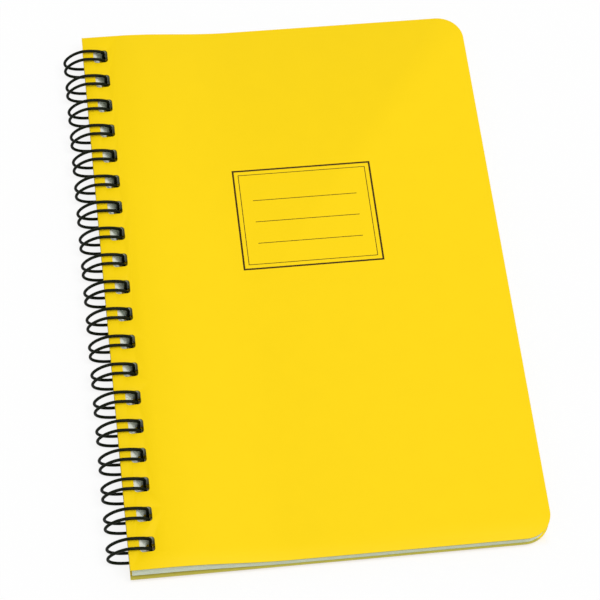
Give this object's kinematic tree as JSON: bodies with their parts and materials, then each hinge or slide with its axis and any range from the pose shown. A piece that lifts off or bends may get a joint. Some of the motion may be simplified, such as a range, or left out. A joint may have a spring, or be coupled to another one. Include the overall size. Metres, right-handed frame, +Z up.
{
  "type": "wire-bound notebook",
  "caption": "Small wire-bound notebook with plain yellow card covers, rounded fore-edge corners and a dark twin-loop wire along its left side; both covers turn on the wire.",
  "frame": {"origin": "middle of the bounding box, on the ground under the lowest point of the wire loops, notebook lying on its back cover", "axes": "+X from the spine to the fore edge, +Y up the page from tail to head, +Z up through the front cover"},
  "size_m": [0.1237, 0.1778, 0.0103],
  "materials": {
    "cover_card": "satin",
    "paper": "matte",
    "coated_wire": "satin"
  },
  "bodies": {
    "leaves_and_wire": {"page_block": "paper", "binding_wire": "coated_wire"},
    "front_cover": {"front_cover": "cover_card"},
    "back_cover": {"back_cover": "cover_card"}
  },
  "joints": [
    {"name": "front_cover_hinge", "type": "hinge", "parent": "leaves_and_wire", "child": "front_cover", "pos_m": [-0.05477, 0, 0.00491], "axis": [0, -1, 0], "range_deg": [0, 180]},
    {"name": "back_cover_hinge", "type": "hinge", "parent": "leaves_and_wire", "child": "back_cover", "pos_m": [-0.05302, 0, 0.00527], "axis": [0, 1, 0], "range_deg": [0, 40]}
  ]
}
